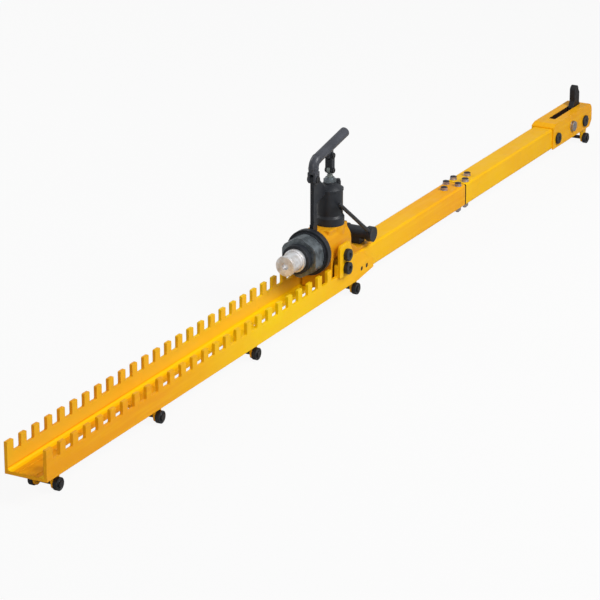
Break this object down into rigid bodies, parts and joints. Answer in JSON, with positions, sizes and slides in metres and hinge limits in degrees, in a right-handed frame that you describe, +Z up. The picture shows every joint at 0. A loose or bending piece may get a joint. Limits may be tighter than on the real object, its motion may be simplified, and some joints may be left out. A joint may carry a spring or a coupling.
{
  "type": "rail gauge adjuster",
  "caption": "Hydraulic rail gauge adjuster: toothed channel, box beam on rollers, hand-pumped jack with ram and folding hook.",
  "frame": {"origin": "middle of the tool's length and width, on the ground under its wheels", "axes": "+X along the tool towards the hook, +Y away from the release lever's side, +Z up"},
  "size_m": [2.348, 0.1126, 0.3458],
  "materials": {
    "yellow_paint": "gloss",
    "black_paint": "satin",
    "bright_steel": "polished",
    "plain_steel": "zinc plated",
    "dark_steel": "blued",
    "seal_rubber": "matte"
  },
  "bodies": {
    "frame": {"rack_wall_near": "yellow_paint", "rack_wall_far": "yellow_paint", "end_cross_plate": "yellow_paint", "second_cross_plate": "yellow_paint", "third_cross_plate": "yellow_paint", "packing_plate_near": "yellow_paint", "packing_plate_far": "yellow_paint", "packing_screws": "plain_steel", "inner_box_beam": "yellow_paint", "outer_box_beam": "yellow_paint", "splice_bar": "plain_steel", "splice_bolts": "plain_steel", "splice_nuts": "plain_steel", "hook_head": "yellow_paint", "hook_pivot_pin": "black_paint", "head_fixing_pin": "black_paint", "hook_rest_bolt": "plain_steel", "roller_bracket_1": "yellow_paint", "roller_bracket_2": "yellow_paint", "roller_bracket_3": "yellow_paint", "roller_bracket_4": "yellow_paint", "roller_bracket_5": "yellow_paint"},
    "jack": {"jack_body": "yellow_paint", "saddle_plate_near": "yellow_paint", "saddle_plate_far": "yellow_paint", "saddle_screws": "black_paint", "seat_bushes": "plain_steel", "front_flange": "black_paint", "gland_nut": "dark_steel", "nose_ring": "black_paint", "wiper_collar": "bright_steel", "reservoir": "black_paint", "reservoir_lid": "black_paint", "filler_plug": "black_paint", "pump_barrel": "plain_steel", "pump_gland_nut": "plain_steel", "fulcrum_post": "black_paint", "handle_pivot_pin": "plain_steel", "valve_bracket": "yellow_paint", "valve_barrel": "black_paint"},
    "ram": {"ram": "bright_steel", "piston": "plain_steel", "piston_seal": "seal_rubber"},
    "handle": {"handle_socket": "black_paint"},
    "link": {"pump_link": "black_paint", "link_pins": "plain_steel"},
    "plunger": {"pump_plunger": "bright_steel"},
    "release": {"release_lever": "black_paint"},
    "hook": {"hook": "black_paint"},
    "roller_1": {"roller_axle_1": "plain_steel", "roller_wheels_1": "black_paint"},
    "roller_2": {"roller_axle_2": "plain_steel", "roller_wheels_2": "black_paint"},
    "roller_3": {"roller_axle_3": "plain_steel", "roller_wheels_3": "black_paint"},
    "roller_4": {"roller_axle_4": "plain_steel", "roller_wheels_4": "black_paint"},
    "roller_5": {"roller_axle_5": "plain_steel", "roller_wheels_5": "black_paint"}
  },
  "joints": [
    {"name": "jack_lift", "type": "slide", "parent": "frame", "child": "jack", "axis": [0, 0, 1], "range_m": [0, 0.12]},
    {"name": "ram_slide", "type": "slide", "parent": "jack", "child": "ram", "axis": [-1, 0, 0], "range_m": [-0.025, 0.07]},
    {"name": "handle_swing", "type": "hinge", "parent": "jack", "child": "handle", "pos_m": [-0.15, 0, 0.275], "axis": [0, -1, 0], "range_deg": [0, 18]},
    {"name": "link_swing", "type": "hinge", "parent": "handle", "child": "link", "pos_m": [-0.082, 0, 0.305], "axis": [0, -1, 0], "range_deg": [0, 5.5]},
    {"name": "plunger_slide", "type": "slide", "parent": "jack", "child": "plunger", "axis": [0, 0, 1], "range_m": [0, 0.0225]},
    {"name": "release_turn", "type": "hinge", "parent": "jack", "child": "release", "pos_m": [0.037, 0, 0.112], "axis": [0, 1, 0], "range_deg": [0, 60]},
    {"name": "hook_fold", "type": "hinge", "parent": "frame", "child": "hook", "pos_m": [1.133, 0, 0.057], "axis": [0, -1, 0], "range_deg": [0, 65]},
    {"name": "roller_1_spin", "type": "hinge", "parent": "frame", "child": "roller_1", "pos_m": [-1.114, 0, 0.012], "axis": [0, 1, 0], "continuous": true},
    {"name": "roller_2_spin", "type": "hinge", "parent": "frame", "child": "roller_2", "pos_m": [-0.778, 0, 0.012], "axis": [0, 1, 0], "continuous": true},
    {"name": "roller_3_spin", "type": "hinge", "parent": "frame", "child": "roller_3", "pos_m": [-0.425, 0, 0.012], "axis": [0, 1, 0], "continuous": true},
    {"name": "roller_4_spin", "type": "hinge", "parent": "frame", "child": "roller_4", "pos_m": [-0.016, 0, 0.012], "axis": [0, 1, 0], "continuous": true},
    {"name": "roller_5_spin", "type": "hinge", "parent": "frame", "child": "roller_5", "pos_m": [1.146, 0, 0.012], "axis": [0, 1, 0], "continuous": true}
  ],
  "couplings": [
    {"joint": "link_swing", "follows": "handle_swing", "ratio": 0.278},
    {"joint": "plunger_slide", "follows": "handle_swing", "m_per_rad": 0.069752}
  ]
}
